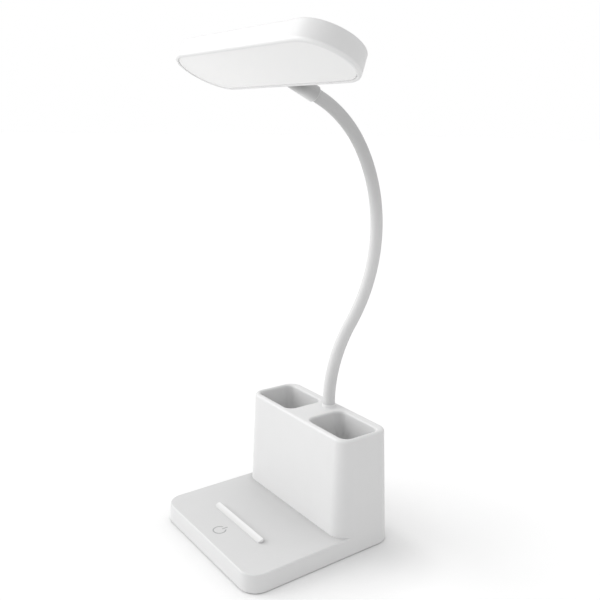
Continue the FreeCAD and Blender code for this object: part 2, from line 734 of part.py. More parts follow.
cell_level = f"({cover_top} + holder_wall + cell_gap + cell_radius)"
pocket_length = "(cell_length + 2 * contact_thickness)"
cradle = box("cradle", f"{pocket_length} + 2 * holder_wall", "2 * (cell_radius + cell_gap + holder_wall)",
             "holder_height", 0, "cell_place", cover_top)
cradle_pocket = cylinder("cradle_pocket", "cell_radius + cell_gap", pocket_length,
                         f"-{pocket_length} / 2", "cell_place", cell_level, axis="x")
cell_holder = cut("cell_holder", cradle, cradle_pocket)
battery_cell = cylinder("battery_cell", "cell_radius", "cell_length",
                        "-cell_length / 2", "cell_place", cell_level, axis="x")
cell_contacts = group("cell_contacts", [
    box(f"contact_{word}", "contact_thickness", "contact_width", "contact_height",
        f"{sign} * (cell_length + contact_thickness) / 2", "cell_place",
        f"{cell_level} - contact_height / 2")
    for sign, word in ((-1, "left"), (1, "right"))])

usb_outside = flat_tube("usb_outside", "usb_width", "usb_height", "usb_depth",
                        0, f"{usb_mouth} - usb_depth", usb_level)
usb_inside = flat_tube("usb_inside", "usb_width - 2 * usb_shell", "usb_height - 2 * usb_shell",
                       "usb_depth", 0, f"{usb_mouth} - usb_depth", usb_level)
usb_socket = cut("usb_socket", usb_outside, usb_inside)
usb_back = flat_tube("usb_back", "usb_width - 2 * usb_shell", "usb_height - 2 * usb_shell",
                     "usb_back", 0, f"{usb_mouth} - usb_depth", usb_level)
usb_blade = box("usb_blade", "usb_tongue_width", "usb_depth - usb_setback", "usb_tongue",
                0, f"{usb_mouth} - usb_depth + (usb_depth - usb_setback) / 2",
                f"{usb_level} - usb_tongue / 2")
usb_tongue = fuse("usb_contact_tongue", [usb_back, usb_blade])


# ---- gooseneck --------------------------------------------------------------------------

# The neck's line lies in the YZ plane. It is described by its heading, the angle from straight
# up, positive when it leans to the back. Three bends follow each other without a kink.

class Bend:
    """An arc of the neck's line, from one heading to another."""

    def __init__(self, start, radius, first, last):
        self.radius = radius
        self.first = first
        self.last = last
        self.turn = 1 if last > first else -1
        self.centre = start + self.normal(first) * radius

    def normal(self, heading):
        """From the line towards the centre of the arc."""
        return FreeCAD.Vector(0, math.cos(heading), -math.sin(heading)) * self.turn

    def tangent(self, heading):
        return FreeCAD.Vector(0, math.sin(heading), math.cos(heading))

    def point(self, heading):
        return self.centre - self.normal(heading) * self.radius

    def tube(self, name, tube_radius, first, last):
        """A round bar along the arc between two headings."""
        item = doc.addObject("Part::Torus", name)
        bind(item, Radius2=tube_radius)
        item.Radius1 = self.radius
        item.Angle3 = math.degrees(abs(last - first))
        outward = self.normal(first) * -1
        forward = self.tangent(first)
        turn = FreeCAD.Rotation(outward, forward, outward.cross(forward), "ZXY")
        item.Placement = FreeCAD.Placement(self.centre, turn)
        return item


def bar_along(name, radius, length, start, direction):
    """A round bar from a point along a direction."""
    item = doc.addObject("Part::Cylinder", name)
    bind(item, Radius=radius, Height=length)
    item.Placement = FreeCAD.Placement(start, FreeCAD.Rotation(FreeCAD.Vector(0, 0, 1), direction))
    return item


def ball(name, radius, centre):
    item = doc.addObject("Part::Sphere", name)
    bind(item, Radius=radius)
    item.Placement.Base = centre
    return item


lean = math.radians(number("neck_lean"))
mid_end = -math.radians(number("neck_mid_end"))
head_heading = math.radians(number("head_tilt")) - math.pi / 2
stub_top = FreeCAD.Vector(0, number("neck_place"), number("neck_stub_top"))
low_bend = Bend(stub_top, number("neck_low_bend"), 0.0, lean)
mid_bend = Bend(low_bend.point(lean), number("neck_mid_bend"), lean, mid_end)
high_bend = Bend(mid_bend.point(mid_end), number("neck_high_bend"), mid_end, head_heading)
bend_end = high_bend.point(head_heading)
neck_end = bend_end + high_bend.tangent(head_heading) * number("neck_run_out")

links = []
for bend, count in zip((low_bend, mid_bend, high_bend), LINKS_PER_BEND):
    for step in range(count):
        sweep = bend.last - bend.first
        links.append((bend, bend.first + sweep * step / count, bend.first + sweep * (step + 1) / count))

# The stub stands in the tower's top and ends in a socket for the first link's ball.
stub_floor = "(tower_height - grommet_seat)"
stub_length = f"(neck_stub_top - {stub_floor})"
stub_tube = cut("stub_tube", cylinder("stub_bar", "neck_radius", stub_length, 0, "neck_place", stub_floor),
                cylinder("stub_bore", "bore_radius", stub_length, 0, "neck_place", stub_floor))
neck_sleeve_stub = cut("neck_sleeve_0", stub_tube, ball("stub_socket", "ball_radius + ball_gap", stub_top))
core_floor = f"({stub_floor} - fitting_length / 2)"
neck_core_stub = cylinder("neck_core_0", "core_radius", f"neck_stub_top - core_end_gap - {core_floor}",
                          0, "neck_place", core_floor)

# Each link is a sleeve with a ball at its lower end and a socket at its upper end, round a
# steel core that stops short of both pivots.
sleeves = [neck_sleeve_stub]
cores = [neck_core_stub]
for index, (bend, first, last) in enumerate(links, start=1):
    step = 1 if last > first else -1
    bore_first = first + step * number("core_start_gap") / bend.radius
    core_last = last - step * number("core_end_gap") / bend.radius
    bar = fuse(f"link_{index}_bar", [bend.tube(f"link_{index}_tube", "neck_radius", first, last),
                                     ball(f"link_{index}_ball", "ball_radius", bend.point(first))])
    bore = bend.tube(f"link_{index}_bore", "bore_radius", bore_first, last)
    if index < len(links):
        hollow = fuse(f"link_{index}_hollow",
                      [bore, ball(f"link_{index}_socket", "ball_radius + ball_gap", bend.point(last))])
        sleeves.append(cut(f"neck_sleeve_{index}", bar, hollow))
    else:
        core_last = last
        run_out = [bar_along(name, radius, "neck_run_out + sleeve_seat", bend_end, bend.tangent(last))
                   for name, radius in (("run_out_bar", "neck_radius"), ("run_out_bore", "bore_radius"))]
        sleeves.append(cut(f"neck_sleeve_{index}", fuse("last_bar", [bar, run_out[0]]),
                           fuse("last_hollow", [bore, run_out[1]])))
    cores.append(bend.tube(f"neck_core_{index}", "core_radius", bore_first, core_last))

# Where the neck leaves the tower: a grommet round it, and under the tower's top a threaded
# fitting with its washer and nut.
grommet_ring = cylinder("grommet_ring", grommet_radius, "grommet_seat", 0, "neck_place", stub_floor)
grommet_collar = cone("grommet_collar", f"{grommet_radius} + grommet_flare",
                      f"{grommet_bore_radius} + grommet_lip", "grommet_rise", 0, "neck_place", "tower_height")
grommet_bore = cylinder("grommet_bore", grommet_bore_radius, "grommet_seat + grommet_rise",
                        0, "neck_place", stub_floor)
neck_grommet = cut("neck_grommet", fuse("grommet_body", [grommet_ring, grommet_collar]), grommet_bore)

fitting_floor = f"({stub_floor} - fitting_length)"
fitting_bar = cylinder("fitting_bar", "fitting_radius", "fitting_length", 0, "neck_place", fitting_floor)
fitting_bore = cylinder("fitting_bore", "fitting_bore", "fitting_length", 0, "neck_place", fitting_floor)
neck_fitting = cut("neck_lower_fitting", fitting_bar, fitting_bore)
boss_floor = f"({tower_under} - neck_boss_depth)"
nut_reach = "(tower_back_top - wall - neck_place - nut_room)"
washer_disc = cylinder("washer_disc", nut_reach, "washer_thickness",
                       0, "neck_place", f"{boss_floor} - washer_thickness")
washer_hole = cylinder("washer_hole", "fitting_radius + fitting_gap", "washer_thickness",
                       0, "neck_place", f"{boss_floor} - washer_thickness")
neck_washer = cut("neck_washer", washer_disc, washer_hole)
nut_floor = f"({boss_floor} - washer_thickness - nut_thickness)"
nut_blank = doc.addObject("Part::Prism", "nut_blank")
nut_blank.Polygon = 6
bind(nut_blank, Circumradius=f"{nut_reach} * 2 / sqrt(3)", Height="nut_thickness")
place(nut_blank, 0, "neck_place", nut_floor)
nut_bore = cylinder("nut_bore", "fitting_radius", "nut_thickness", 0, "neck_place", nut_floor)
neck_nut = cut("neck_nut", nut_blank, nut_bore)


# ---- lamp head ---------------------------------------------------------------------------

# The head's own frame starts in the middle of its light-emitting side. The ferrule's axis is
# parallel to the head's Y axis, so the head's place follows from the end of the neck.
tilt = math.radians(number("head_tilt"))
ferrule_face = "(head_depth / 2)"
ferrule_rim = number(f"{ferrule_face} + ferrule_length")
level = number("ferrule_level")
head_turn = FreeCAD.Rotation(FreeCAD.Vector(1, 0, 0), -number("head_tilt"))
head_base = neck_end - head_turn.multVec(FreeCAD.Vector(0, ferrule_rim, level))
head_place = FreeCAD.Placement(head_base, head_turn)


def taper_at(height):
    return f"(2 * head_taper * ({height}) / head_thickness)"


def head_outline(body, name, height, inset):
    return stadium_sketch(body, name, height, f"head_length - {taper_at(height)} - 2 * ({inset})",
                          f"head_depth - {taper_at(height)} - 2 * ({inset})")


head_ceiling = "(head_thickness - head_wall)"


def is_outer_rim(edge):
    """Whether an edge of the lit side lies on the outer outline, not on the diffuser's seat."""
    reach = max(abs(edge.BoundBox.YMax), abs(edge.BoundBox.YMin))
    return reach > number("head_depth / 2 - head_rim / 2")


case = doc.addObject("PartDesign::Body", "head_case")
pad(case, "block", head_outline(case, "block_outline", "0", "0"), "head_thickness", inset="head_taper")
pocket(case, "diffuser_seat",
       stadium_sketch(case, "diffuser_seat_outline", "0", "head_length - 2 * head_rim",
                      "head_depth - 2 * head_rim"), "diffuser_top", upward=True)
loft(case, "hollow", head_outline(case, "hollow_low", "diffuser_top", "head_rim + ledge"),
     head_outline(case, "hollow_high", head_ceiling, "head_rim + ledge"), adds=False)
round_edges(case, "back_rounding", "head_edge", lambda edge: lies_level(edge, number("head_thickness")))
round_edges(case, "lip_rounding", "head_lip_edge",
            lambda edge: lies_level(edge, 0.0) and is_outer_rim(edge))
led_screws = [(f"{sx} * led_screw_x", f"{sy} * led_screw_y") for sx in (-1, 1) for sy in (-1, 1)]
board_back = "(led_board_level + led_board_thickness)"
pad(case, "board_bosses",
    circle_sketch(case, "board_boss_outline", board_back, "led_boss_radius", led_screws),
    f"{head_ceiling} - {board_back} + head_wall / 2")
pocket(case, "board_pilots",
       circle_sketch(case, "board_pilot_outline", board_back, "small_screw_radius + thread_gap",
                     led_screws),
       "small_screw_length", upward=True)
nut_seat = f"({ferrule_face} - {taper_at('(ferrule_level + head_nut_radius)')} / 2 - head_rim - ledge)"
nut_boss = cylinder("nut_boss", "head_nut_radius", f"{ferrule_face} - {nut_seat}",
                    0, nut_seat, "ferrule_level", axis="y")
ferrule_boss = cylinder("ferrule_boss", "ferrule_root_radius", "head_taper",
                        0, f"{ferrule_face} - head_taper", "ferrule_level", axis="y")
ferrule_hole = cylinder("ferrule_hole", "spigot_radius + fitting_gap", "spigot_length",
                        0, f"{ferrule_face} - spigot_length", "ferrule_level", axis="y")
head_housing = cut("head_housing", fuse("case_with_bosses", [case, nut_boss, ferrule_boss], refine=False),
                   ferrule_hole)

diffuser = doc.addObject("PartDesign::Body", "diffuser")
pad(diffuser, "plate",
    stadium_sketch(diffuser, "plate_outline", "diffuser_recess",
                   "head_length - 2 * head_rim - 2 * diffuser_gap",
                   "head_depth - 2 * head_rim - 2 * diffuser_gap"), "diffuser_top - diffuser_recess")
round_edges(diffuser, "rim_rounding", "diffuser_edge",
            lambda edge: lies_level(edge, number("diffuser_recess")))

led_board = doc.addObject("PartDesign::Body", "led_board")
pad(led_board, "plate",
    rounded_sketch(led_board, "outline", "led_board_level", "-led_board_length / 2", "led_board_length / 2",
                   "-led_board_depth / 2", "led_board_depth / 2", "board_corner"), "led_board_thickness")
pocket(led_board, "holes",
       circle_sketch(led_board, "hole_outline", board_back, "small_hole_radius", led_screws),
       "led_board_thickness")

chip_places = [(f"({column} - (chip_columns - 1) / 2) * chip_pitch",
                f"({row} - (chip_rows - 1) / 2) * chip_row_pitch")
               for row in range(int(number("chip_rows")))
               for column in range(int(number("chip_columns")))]
led_chips = group("led_chips", [
    box(f"chip_{index}", "chip_length", "chip_width", "chip_height", x, y, "led_board_level - chip_height")
    for index, (x, y) in enumerate(chip_places)])
led_screw_group = group("led_board_screws", [
    screw(f"led_screw_{index}", x, y, "led_board_level", "small_screw_length", "small_screw_radius",
          "small_head_radius", "small_head_height", upward=True)
    for index, (x, y) in enumerate(led_screws)])

reflector_level = "(led_board_level - reflector_thickness)"
windows = [box(f"window_{index}", "chip_length + 2 * window_gap", "chip_width + 2 * window_gap",
               "reflector_thickness", x, y, reflector_level)
           for index, (x, y) in enumerate(chip_places)]
windows += [cylinder(f"screw_window_{index}", "small_head_radius + window_gap", "reflector_thickness",
                     x, y, reflector_level)
            for index, (x, y) in enumerate(led_screws)]
reflector_blank = box("reflector_blank", "led_board_length", "led_board_depth", "reflector_thickness",
                      0, 0, reflector_level)
reflector_sheet = cut("reflector_sheet", reflector_blank, group("reflector_windows", windows))

ferrule_cone = cone("ferrule_cone", "ferrule_root_radius", "ferrule_rim_radius",
                    "ferrule_length - ferrule_edge", 0, ferrule_face, "ferrule_level", axis="y")
ferrule_tip = cone("ferrule_tip", "ferrule_rim_radius", "ferrule_rim_radius - ferrule_edge", "ferrule_edge",
                   0, f"{ferrule_face} + ferrule_length - ferrule_edge", "ferrule_level", axis="y")
ferrule_spigot = cylinder("ferrule_spigot", "spigot_radius", "spigot_length",
                          0, f"{ferrule_face} - spigot_length", "ferrule_level", axis="y")
ferrule_seat = cylinder("ferrule_seat", "neck_radius + ball_gap", "sleeve_seat",
                        0, f"{ferrule_face} + ferrule_length - sleeve_seat", "ferrule_level", axis="y")
ferrule_bore = cylinder("ferrule_bore", "fitting_bore", "ferrule_length + spigot_length",
                        0, f"{ferrule_face} - spigot_length", "ferrule_level", axis="y")
head_ferrule = cut("head_ferrule", fuse("ferrule_blank", [ferrule_cone, ferrule_tip, ferrule_spigot]),
                   fuse("ferrule_hollow", [ferrule_seat, ferrule_bore]))
ring_blank = cylinder("ring_blank", "head_nut_radius", "head_nut_thickness",
                      0, f"{nut_seat} - head_nut_thickness", "ferrule_level", axis="y")
ring_bore = cylinder("ring_bore", "spigot_radius", "head_nut_thickness",
                     0, f"{nut_seat} - head_nut_thickness", "ferrule_level", axis="y")
head_nut = cut("head_ring_nut", ring_blank, ring_bore)
head_leads = group("head_leads", [
    cylinder(f"lead_{word}", "lead_radius", "lead_length", f"{sign} * lead_spacing / 2",
             "led_board_depth / 2 - lead_overlap", f"{board_back} + lead_radius", axis="y")
    for sign, word in ((-1, "left"), (1, "right"))])

head_pieces = [head_housing, diffuser, led_board, led_chips, led_screw_group, reflector_sheet,
               head_ferrule, head_nut, head_leads]
for item in head_pieces:
    item.Placement = head_place


# ---- names, checks and files --------------------------------------------------------------

SUBPARTS = {
    "housing_shell": housing_shell,
    "touch_mark": touch_mark,
    "phone_stop": phone_stop,
    "bottom_cover": bottom_cover,
    "cover_screws": cover_screws,
    "anti_slip_pad": anti_slip_pad,
    "counterweight_plate": counterweight,
    "weight_screws": weight_screw_group,
    "control_board": control_board,
    "board_components": board_components,
    "board_screws": board_screw_group,
    "touch_spring": touch_spring,
    "battery_cell": battery_cell,
    "cell_holder": cell_holder,
    "cell_contacts": cell_contacts,
    "charge_board": charge_board,
    "charge_board_screws": charge_screw_group,
    "usb_socket": usb_socket,
    "usb_contact_tongue": usb_tongue,
    "neck_grommet": neck_grommet,
    "neck_lower_fitting": neck_fitting,
    "neck_washer": neck_washer,
    "neck_nut": neck_nut,
    "head_ferrule": head_ferrule,
    "head_ring_nut": head_nut,
    "head_housing": head_housing,
    "diffuser": diffuser,
    "led_board": led_board,
    "led_chips": led_chips,
    "led_board_screws": led_screw_group,
    "reflector_sheet": reflector_sheet,
    "head_leads": head_leads,
}
SUBPARTS.update({f"neck_sleeve_{index}": item for index, item in enumerate(sleeves)})
SUBPARTS.update({f"neck_core_{index}": item for index, item in enumerate(cores)})

doc.recompute()
for item in doc.Objects:
    if "Invalid" in item.State or "Error" in item.State:
        raise RuntimeError(f"{item.Name} failed: {item.State}")
for name, item in SUBPARTS.items():
    item.Label = name
    if item.Shape.isNull() or not item.Shape.isValid():
        raise RuntimeError(f"{name} has no valid shape")

os.makedirs("parts", exist_ok=True)
for name, item in SUBPARTS.items():
    item.Shape.exportStep(f"parts/{name}.step")

for index, (bend, first, last) in enumerate(links, start=1):
    point = bend.point(first)
    print(f"pivot {index}: y {point.y:.3f} z {point.z:.3f} heading {math.degrees(first):.3f}")
print(f"head origin: y {head_base.y:.3f} z {head_base.z:.3f}")
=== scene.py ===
import json
import math

import bmesh
import bpy
from mathutils import Matrix, Vector


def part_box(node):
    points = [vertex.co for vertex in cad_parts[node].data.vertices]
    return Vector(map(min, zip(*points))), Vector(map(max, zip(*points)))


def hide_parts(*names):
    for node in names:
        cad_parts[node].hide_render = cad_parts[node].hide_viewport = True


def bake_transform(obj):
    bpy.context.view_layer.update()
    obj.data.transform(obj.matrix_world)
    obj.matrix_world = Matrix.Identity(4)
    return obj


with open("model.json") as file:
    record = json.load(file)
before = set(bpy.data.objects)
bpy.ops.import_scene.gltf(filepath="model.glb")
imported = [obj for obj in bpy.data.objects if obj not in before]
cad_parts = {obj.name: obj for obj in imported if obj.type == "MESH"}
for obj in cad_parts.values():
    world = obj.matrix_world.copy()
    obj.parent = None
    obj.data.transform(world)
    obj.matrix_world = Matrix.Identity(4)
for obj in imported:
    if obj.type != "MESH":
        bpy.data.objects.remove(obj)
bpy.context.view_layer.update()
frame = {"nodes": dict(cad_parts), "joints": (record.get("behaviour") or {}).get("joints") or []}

MM = 0.001
ALONG_X = Vector((1, 0, 0))
ALONG_Y = Vector((0, 1, 0))
ALONG_Z = Vector((0, 0, 1))

# The head's lit side: the middle of its plane, and the direction from it into the head. The
# ferrule comes out of the head's back edge, along the same plane.
HEAD_TILT = math.radians(25.3)
LIT_CENTRE = Vector((0, -16.944, 319.390)) * MM
LIT_NORMAL = Vector((0, math.sin(HEAD_TILT), math.cos(HEAD_TILT)))
FERRULE_AXIS = Vector((0, math.cos(HEAD_TILT), -math.sin(HEAD_TILT)))


# ---- camera ------------------------------------------------------------------------------

# The camera stands to the right of the lamp's front, a little lower than the head, and looks down.
CAMERA_PLACE = Vector((388.1, -266.0, 285.4)) * MM
CAMERA_AZIMUTH = math.radians(53.76)
CAMERA_PITCH = math.radians(13.64)
CAMERA_ROLL = math.radians(-1.02)
FOCAL_PIXELS = 714.83
IMAGE_PIXELS = 600.0
SENSOR = 36.0
NEAREST = 0.01
FARTHEST = 50


def add_camera():
    azimuth, pitch = CAMERA_AZIMUTH, CAMERA_PITCH
    back = Vector((math.sin(azimuth) * math.cos(pitch), -math.cos(azimuth) * math.cos(pitch),
                   math.sin(pitch)))
    level_right = Vector((math.cos(azimuth), math.sin(azimuth), 0))
    level_up = back.cross(level_right)
    right = level_right * math.cos(CAMERA_ROLL) - level_up * math.sin(CAMERA_ROLL)
    up = level_right * math.sin(CAMERA_ROLL) + level_up * math.cos(CAMERA_ROLL)
    camera = bpy.data.objects.new("camera", bpy.data.cameras.new("camera"))
    bpy.context.scene.collection.objects.link(camera)
    turn = Matrix((right, up, back)).transposed().to_4x4()
    camera.matrix_world = Matrix.Translation(CAMERA_PLACE) @ turn
    camera.data.sensor_width = SENSOR
    camera.data.lens = FOCAL_PIXELS / IMAGE_PIXELS * SENSOR
    camera.data.clip_start = NEAREST
    camera.data.clip_end = FARTHEST
    bpy.context.scene.camera = camera


# ---- shader building blocks --------------------------------------------------------------

WHITE_LIGHT = (1, 1, 1, 1)
SHELTER_SAMPLES = 16


class Tree:
    """The node tree of a material or of the world."""

    def __init__(self, owner):
        owner.use_nodes = True
        self.owner = owner
        self.nodes = owner.node_tree.nodes
        self.links = owner.node_tree.links

    def maths(self, operation, first, second):
        """A maths node fed by sockets or plain numbers."""
        node = self.nodes.new("ShaderNodeMath")
        node.operation = operation
        for source, socket in ((first, node.inputs[0]), (second, node.inputs[1])):
            if isinstance(source, (int, float)):
                socket.default_value = source
            else:
                self.links.new(source, socket)
        return node.outputs["Value"]

    def dot(self, source, direction):
        """The dot product of a vector socket and a direction."""
        node = self.nodes.new("ShaderNodeVectorMath")
        node.operation = "DOT_PRODUCT"
        node.inputs[1].default_value = direction
        self.links.new(source, node.inputs[0])
        return node.outputs["Value"]

    def span(self, source, low, high):
        """A 0 to 1 value spread over a range."""
        node = self.nodes.new("ShaderNodeMapRange")
        node.inputs["To Min"].default_value = low
        node.inputs["To Max"].default_value = high
        self.links.new(source, node.inputs["Value"])
        return node.outputs["Result"]

    def place(self, kind="Object"):
        return self.nodes.new("ShaderNodeTexCoord").outputs[kind]

    def normal(self):
        return self.nodes.new("ShaderNodeNewGeometry").outputs["Normal"]

    def upness(self, source):
        """The Z part of a vector socket."""
        node = self.nodes.new("ShaderNodeSeparateXYZ")
        self.links.new(source, node.inputs["Vector"])
        return node.outputs["Z"]

    def along(self, direction, start, end, first, last):
        """A value that goes from first to last between two distances along a direction."""
        node = self.nodes.new("ShaderNodeMapRange")
        node.interpolation_type = "SMOOTHSTEP"
        node.inputs["From Min"].default_value = start
        node.inputs["From Max"].default_value = end
        node.inputs["To Min"].default_value = first
        node.inputs["To Max"].default_value = last
        self.links.new(self.dot(self.place(), direction), node.inputs["Value"])
        return node.outputs["Result"]

    def openness(self, reach, alone):
        """1 in the open, falling to 0 where surfaces within reach block the light.

        With alone, only the piece's own surfaces count.
        """
        node = self.nodes.new("ShaderNodeAmbientOcclusion")
        node.samples = SHELTER_SAMPLES
        node.only_local = alone
        node.inputs["Distance"].default_value = reach
        return node.outputs["AO"]

    def background_rays(self):
        """1 for the rays that show the background: seen directly, in a reflection or through glass."""
        path = self.nodes.new("ShaderNodeLightPath").outputs
        direct = self.maths("MAXIMUM", path["Is Camera Ray"], path["Is Glossy Ray"])
        return self.maths("MAXIMUM", direct, path["Is Transmission Ray"])


class Finish(Tree):
    """A material whose colour wanders a little and whose surface has a fine grain.

    grain is the size of the grain in millimetres, bump its height in millimetres, and mottle how
    far the colour wanders.
    """

    CLOUD_SCALE = 60
    CLOUD_DETAIL = 3
    GRAIN_DETAIL = 4
    ROUGHNESS_SPREAD = 0.06
    RELIEF = 0.6

    def __init__(self, name, colour, roughness=0.5, grain=0.25, bump=0.01, mottle=0.02,
                 metallic=0.0, specular=0.5):
        super().__init__(bpy.data.materials.new(name))
        self.sockets = self.nodes["Principled BSDF"].inputs
        self.sockets["Metallic"].default_value = metallic
        self.sockets["Specular IOR Level"].default_value = specular
        where = self.place()
        self.add_colour(where, colour, mottle)
        self.add_grain(where, roughness, grain, bump)

    def noise(self, where, scale, detail):
        node = self.nodes.new("ShaderNodeTexNoise")
        node.inputs["Scale"].default_value = scale
        node.inputs["Detail"].default_value = detail
        self.links.new(where, node.inputs["Vector"])
        return node.outputs["Fac"]

    def add_colour(self, where, colour, mottle):
        tint = self.nodes.new("ShaderNodeMix")
        tint.data_type = "RGBA"
        for socket, share in (("A", 1 - mottle), ("B", 1 + mottle)):
            tint.inputs[socket].default_value = [part * share for part in colour] + [1]
        self.links.new(self.noise(where, self.CLOUD_SCALE, self.CLOUD_DETAIL), tint.inputs["Factor"])
        self.links.new(tint.outputs["Result"], self.sockets["Base Color"])

    def add_grain(self, where, roughness, grain, bump):
        fine = self.noise(where, 1 / (grain * MM), self.GRAIN_DETAIL)
        spread = self.ROUGHNESS_SPREAD
        self.links.new(self.span(fine, roughness - spread, roughness + spread), self.sockets["Roughness"])
        relief = self.nodes.new("ShaderNodeBump")
        relief.inputs["Strength"].default_value = self.RELIEF
        relief.inputs["Distance"].default_value = bump * MM
        self.links.new(fine, relief.inputs["Height"])
        self.links.new(relief.outputs["Normal"], self.sockets["Normal"])

    def dim(self, share):
        """Multiply the colour by a share."""
        colour = self.sockets["Base Color"]
        node = self.nodes.new("ShaderNodeVectorMath")
        node.operation = "MULTIPLY"
        self.links.new(colour.links[0].from_socket, node.inputs[0])
        self.links.new(share, node.inputs[1])
        self.links.new(node.outputs["Vector"], colour)

    def shelter(self, reach, walls, tops, alone):
        """Dim the colour where nearby surfaces block the light, by other shares on walls and tops."""
        upward = self.maths("MAXIMUM", self.upness(self.normal()), 0.0)
        share = self.maths("ADD", self.maths("MULTIPLY", upward, tops - walls), walls)
        blocked = self.maths("SUBTRACT", 1.0, self.openness(reach, alone))
        self.dim(self.maths("SUBTRACT", 1.0, self.maths("MULTIPLY", blocked, share)))

    def glow(self, strength):
        self.sockets["Emission Color"].default_value = WHITE_LIGHT
        self.links.new(strength, self.sockets["Emission Strength"])

    def facing(self, direction, power, strength):
        """A value that is greatest where the surface faces a direction."""
        toward = self.maths("MAXIMUM", self.dot(self.normal(), direction), 0.0)
        return self.maths("MULTIPLY", self.maths("POWER", toward, power), strength)


def grey(level):
    return (level, level, level)


# ---- materials of the outside --------------------------------------------------------------


def housing_white():
    finish = Finish("housing_white", grey(0.80), roughness=0.42, grain=0.35, bump=0.006, mottle=0.012)
    # Painted shade: darker where the housing's own tower and wells block the light, and in the creases next
    # to other pieces.
    finish.shelter(reach=120 * MM, walls=0.04, tops=0.50, alone=True)
    finish.shelter(reach=5 * MM, walls=0.0, tops=0.22, alone=False)
    return finish


def head_white():
    """A painted glow along its rim, next to the diffuser, as if the diffuser's light got into the shell."""
    finish = Finish("head_white", grey(0.78), roughness=0.42, grain=0.35, bump=0.006, mottle=0.012)
    lit_side = LIT_NORMAL.dot(LIT_CENTRE)
    finish.glow(finish.along(LIT_NORMAL, lit_side + 1.2 * MM, lit_side + 2.4 * MM, 0.08, 0.0))
    return finish


def stop_white():
    """Painted shade on its front flank, along its back edge and at its right end."""
    finish = Finish("stop_white", grey(0.92), roughness=0.6, grain=0.2, bump=0.008)
    finish.dim(finish.along(ALONG_Y, -34.0 * MM, -29.4 * MM, 0.84, 1.0))
    finish.dim(finish.along(ALONG_X, 28.0 * MM, 29.6 * MM, 1.0, 0.7))
    finish.dim(finish.along(ALONG_Y, -29.9 * MM, -29.3 * MM, 1.0, 0.66))
    return finish


def diffuser_milk():
    """A faint painted glow brightens it, a little more at the left end of the head."""
    finish = Finish("diffuser_milk", (0.86, 0.86, 0.855), roughness=0.35, grain=0.5, bump=0.003,
                    mottle=0.008)
    finish.glow(finish.along(ALONG_X, -80 * MM, 80 * MM, 0.13, 0.08))
    return finish


def ferrule_white():
    """Painted shade in the shelter of the head and near its root, a painted glow on its underside as if lit
    from below, and a painted highlight on the rim at its end. Its dark grey is partly painted shade.
    """
    finish = Finish("ferrule_white", grey(0.48), roughness=0.4, grain=0.3, bump=0.004)
    finish.shelter(reach=50 * MM, walls=0.6, tops=0.75, alone=False)
    finish.glow(finish.facing(-LIT_NORMAL, power=3, strength=0.24))
    root = FERRULE_AXIS.dot(LIT_CENTRE) + 24.0 * MM
    finish.dim(finish.along(FERRULE_AXIS, root, root + 16 * MM, 0.44, 1.0))
    # A painted highlight: the colour is made brighter on the rim at its end.
    finish.dim(finish.along(FERRULE_AXIS, root + 21.2 * MM, root + 21.5 * MM, 1.0, 1.5))
    return finish


def sleeve_white():
    """Soft and matt, with painted shade in the creases next to other pieces and towards the top, under the
    head.
    """
    finish = Finish("sleeve_white", grey(0.72), roughness=0.6, grain=0.15, bump=0.006, mottle=0.015,
                    specular=0.3)
    finish.shelter(reach=6 * MM, walls=0.35, tops=0.35, alone=False)
    finish.dim(finish.along(ALONG_Z, 200 * MM, 280 * MM, 1.0, 0.79))
    return finish


OUTSIDE = (
    (housing_white, "housing_shell"),
    (head_white, "head_housing"),
    (stop_white, "phone_stop"),
    (diffuser_milk, "diffuser"),
    (ferrule_white, "head_ferrule"),
)


# ---- plain materials, and the nodes that have them -----------------------------------------

STEEL_NODES = ["cover_screws", "counterweight_plate", "weight_screws", "board_screws", "touch_spring",
               "cell_contacts", "charge_board_screws", "usb_socket", "neck_washer", "led_board_screws"]
STEEL_NODES += [name for name in frame["nodes"] if name.startswith("neck_core_")]

PLAIN = (
    (dict(name="mark_grey", colour=(0.46, 0.46, 0.465), roughness=0.55, grain=0.1, bump=0.002),
     ["touch_mark"]),
    (dict(name="grommet_white", colour=grey(0.80), roughness=0.5, grain=0.3, bump=0.004),
     ["neck_grommet"]),
    (dict(name="pad_grey", colour=(0.045, 0.045, 0.047), roughness=0.85, grain=0.6, bump=0.08, mottle=0.15),
     ["anti_slip_pad"]),
    (dict(name="cover_white", colour=grey(0.70), roughness=0.5, grain=0.4, bump=0.012),
     ["bottom_cover"]),
    (dict(name="steel", colour=(0.52, 0.52, 0.53), roughness=0.32, grain=0.12, bump=0.004, metallic=1.0),
     STEEL_NODES),
    (dict(name="nickel", colour=(0.60, 0.55, 0.40), roughness=0.28, grain=0.1, bump=0.003, metallic=1.0),
     ["neck_lower_fitting", "neck_nut", "head_ring_nut"]),
    (dict(name="board_green", colour=(0.02, 0.16, 0.06), roughness=0.3, grain=0.5, bump=0.01, mottle=0.08),
     ["control_board", "charge_board"]),
    (dict(name="board_white", colour=(0.80, 0.80, 0.79), roughness=0.35, grain=0.4, bump=0.004),
     ["led_board"]),
    (dict(name="black_parts", colour=grey(0.02), roughness=0.4, grain=0.2, bump=0.006),
     ["board_components"]),
    (dict(name="cell_wrap", colour=(0.03, 0.10, 0.25), roughness=0.25, grain=0.6, bump=0.004),
     ["battery_cell"]),
    (dict(name="holder_black", colour=grey(0.02), roughness=0.5, grain=0.3, bump=0.01),
     ["cell_holder", "usb_contact_tongue"]),
    (dict(name="chip_yellow", colour=(0.80, 0.55, 0.08), roughness=0.3, grain=0.1, bump=0.002),
     ["led_chips"]),
    (dict(name="sheet_white", colour=grey(0.85), roughness=0.3, grain=0.5, bump=0.002),
     ["reflector_sheet"]),
    (dict(name="wire_red", colour=(0.45, 0.02, 0.015), roughness=0.4, grain=0.2, bump=0.003),
     ["head_leads"]),
)


def paint(finish, names):
    for name in names:
        materials = frame["nodes"][name].data.materials
        materials.clear()
        materials.append(finish.owner)


# ---- gooseneck sleeve ----------------------------------------------------------------------

